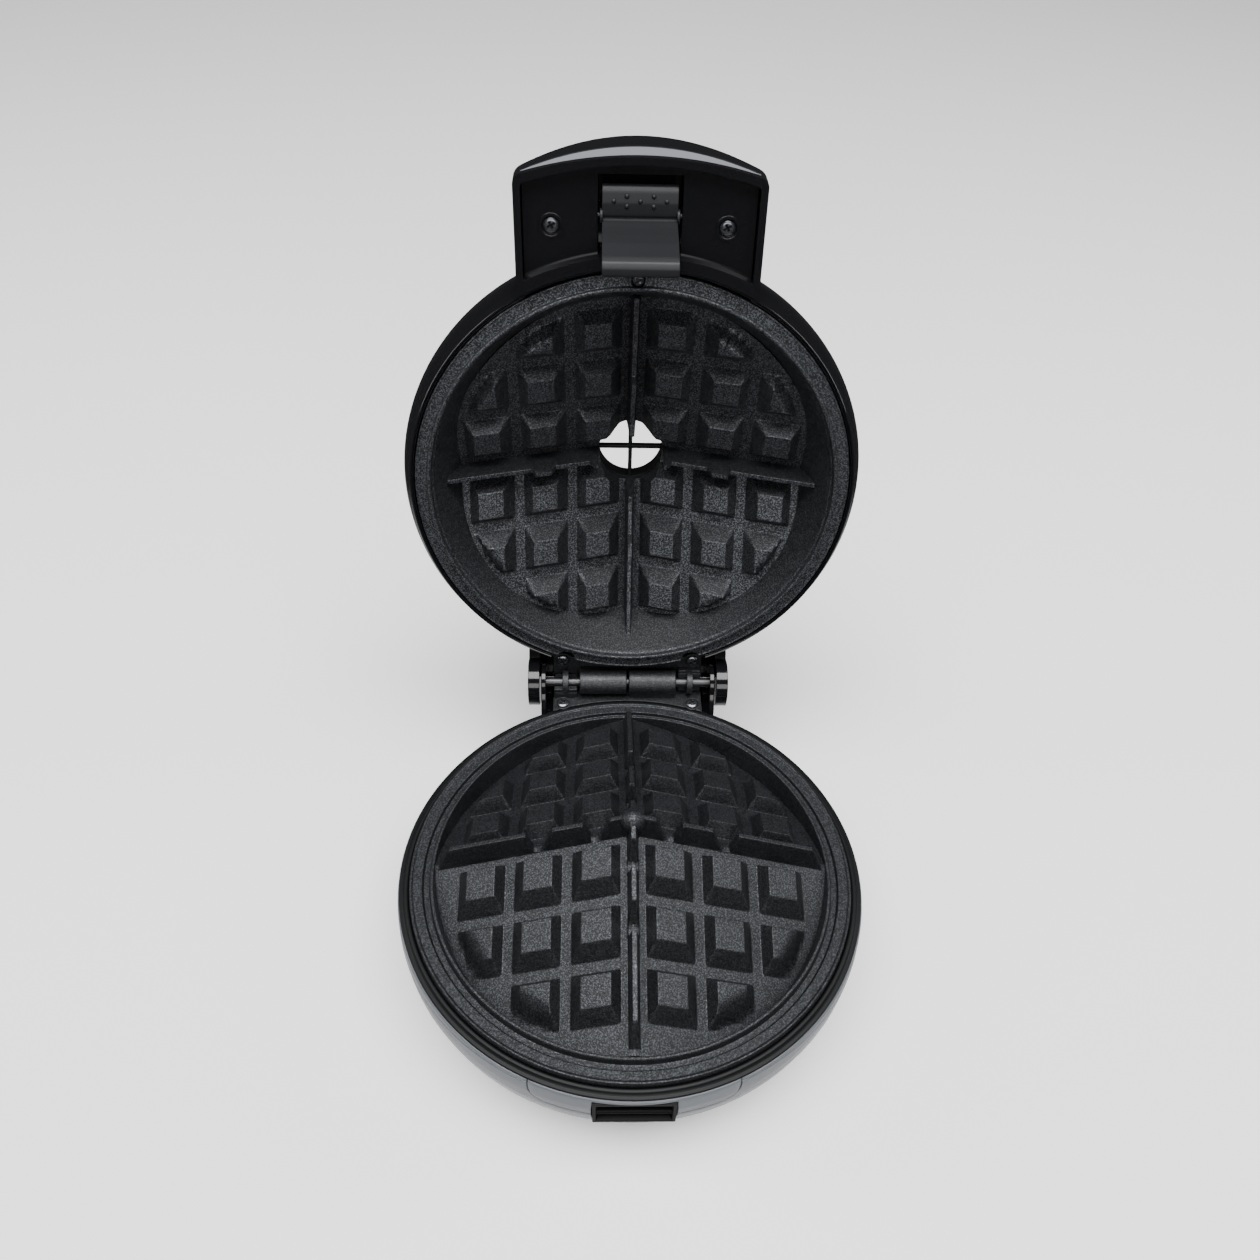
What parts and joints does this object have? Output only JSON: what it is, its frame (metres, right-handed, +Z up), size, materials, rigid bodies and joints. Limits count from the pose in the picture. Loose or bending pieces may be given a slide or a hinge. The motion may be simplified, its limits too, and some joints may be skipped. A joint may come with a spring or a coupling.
{
  "type": "waffle maker",
  "caption": "Round hinged waffle maker with a conical quartered baking cavity, a filling hole in the lid and a latched front handle.",
  "frame": {"origin": "under the middle of the open machine's outline, at the level its feet stand on", "axes": "+Z up; -Y towards the front, where the lid's handle comes down; the lid hinges about a line along X; the lid stands open at rest"},
  "size_m": [0.2208, 0.3144, 0.3245],
  "materials": {
    "non_stick_casting": "cast aluminium with a speckled black non-stick coat",
    "grey_housing": "glossy mid-grey",
    "black_gloss": "glossy black",
    "black_satin": "satin black",
    "silver_trim": "bright satin foil on a plastic strip",
    "steel_pin": "drawn steel",
    "dark_screw": "blackened steel",
    "element_sheath": "oxidised steel tube",
    "reflector_sheet": "bright rolled sheet",
    "ceramic_body": "unglazed",
    "rubber": "matt",
    "red_lens": "clear tinted",
    "green_lens": "clear tinted"
  },
  "bodies": {
    "base": {"base_body": "grey_housing", "base_bezel": "grey_housing", "base_collar": "black_gloss", "lower_plate": "non_stick_casting", "lower_heating_element": "element_sheath", "lower_reflector": "reflector_sheet", "thermostat": "ceramic_body", "thermal_fuse": "steel_pin", "terminal_block": "ceramic_body", "bottom_cover": "black_satin", "cord_gland": "rubber", "latch_catch": "black_gloss", "lower_hinge_bracket": "non_stick_casting", "hinge_housing": "black_gloss", "hinge_pin": "steel_pin", "foot_front_left": "rubber", "foot_front_right": "rubber", "foot_rear_left": "rubber", "foot_rear_right": "rubber", "lower_hinge_screw_left": "dark_screw", "lower_hinge_screw_right": "dark_screw"},
    "lid": {"lid_shell": "black_gloss", "upper_plate": "non_stick_casting", "filler_tube": "black_satin", "upper_heating_element": "element_sheath", "upper_reflector": "reflector_sheet", "handle_underside_cover": "black_gloss", "handle_trim": "silver_trim", "upper_hinge_bracket": "non_stick_casting", "latch_pin": "steel_pin", "power_lamp_lens": "red_lens", "ready_lamp_lens": "green_lens", "upper_hinge_screw_left": "dark_screw", "upper_hinge_screw_right": "dark_screw", "handle_screw_left": "dark_screw", "handle_screw_right": "dark_screw", "upper_plate_screw": "dark_screw"},
    "latch": {"latch_lever": "black_satin"}
  },
  "joints": [
    {"name": "lid_hinge", "type": "hinge", "parent": "base", "child": "lid", "pos_m": [0, 0.06756, 0.0665], "axis": [1, 0, 0], "range_deg": [0, 100.2]},
    {"name": "latch_pivot", "type": "hinge", "parent": "lid", "child": "latch", "pos_m": [0, 0.11211, 0.3], "axis": [-1, 0, 0], "range_deg": [0, 12], "stiffness_Nm_per_rad": 0.1, "springref_deg": -5.73}
  ]
}
